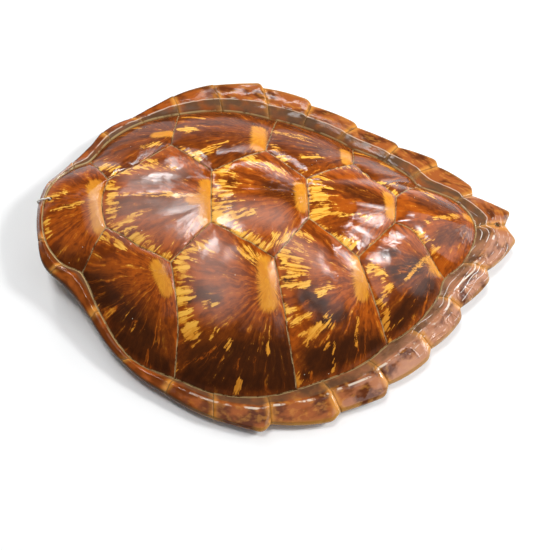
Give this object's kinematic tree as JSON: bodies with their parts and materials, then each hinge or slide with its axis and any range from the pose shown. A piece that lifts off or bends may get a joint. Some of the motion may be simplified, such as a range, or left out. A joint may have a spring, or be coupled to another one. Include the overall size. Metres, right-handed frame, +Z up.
{
  "type": "turtle shell",
  "caption": "Dried, lacquered sea turtle carapace: a low bony dome covered in horny scutes, with a saw-toothed rear rim and a string loop at the front.",
  "frame": {"origin": "on the surface the shell rests on, under the middle of its outline", "axes": "+X from the head end to the tail end along the backbone, -Y to the animal's left side, +Z up out of the dome"},
  "size_m": [0.486, 0.41, 0.0841],
  "materials": {
    "horn": "lacquered horn, dark brown and amber rays",
    "rim_horn": "lacquered horn, amber brown with paler translucent edges",
    "bone": "dry matt bone with ribs and sutures",
    "string": "twisted white cotton"
  },
  "bodies": {
    "root": {"bony_carapace": "bone", "vertebral_scute_1": "horn", "vertebral_scute_2": "horn", "vertebral_scute_3": "horn", "vertebral_scute_4": "horn", "vertebral_scute_5": "horn", "costal_scute_left_1": "horn", "costal_scute_left_2": "horn", "costal_scute_left_3": "horn", "costal_scute_left_4": "horn", "costal_scute_right_1": "horn", "costal_scute_right_2": "horn", "costal_scute_right_3": "horn", "costal_scute_right_4": "horn", "nuchal_scute": "rim_horn", "marginal_scute_left_1": "rim_horn", "marginal_scute_left_2": "rim_horn", "marginal_scute_left_3": "rim_horn", "marginal_scute_left_4": "rim_horn", "marginal_scute_left_5": "rim_horn", "marginal_scute_left_6": "rim_horn", "marginal_scute_left_7": "rim_horn", "marginal_scute_left_8": "rim_horn", "marginal_scute_left_9": "rim_horn", "marginal_scute_left_10": "rim_horn", "marginal_scute_left_11": "rim_horn", "marginal_scute_left_12": "rim_horn", "marginal_scute_right_1": "rim_horn", "marginal_scute_right_2": "rim_horn", "marginal_scute_right_3": "rim_horn", "marginal_scute_right_4": "rim_horn", "marginal_scute_right_5": "rim_horn", "marginal_scute_right_6": "rim_horn", "marginal_scute_right_7": "rim_horn", "marginal_scute_right_8": "rim_horn", "marginal_scute_right_9": "rim_horn", "marginal_scute_right_10": "rim_horn", "marginal_scute_right_11": "rim_horn", "marginal_scute_right_12": "rim_horn", "string_loop": "string"}
  },
  "joints": []
}
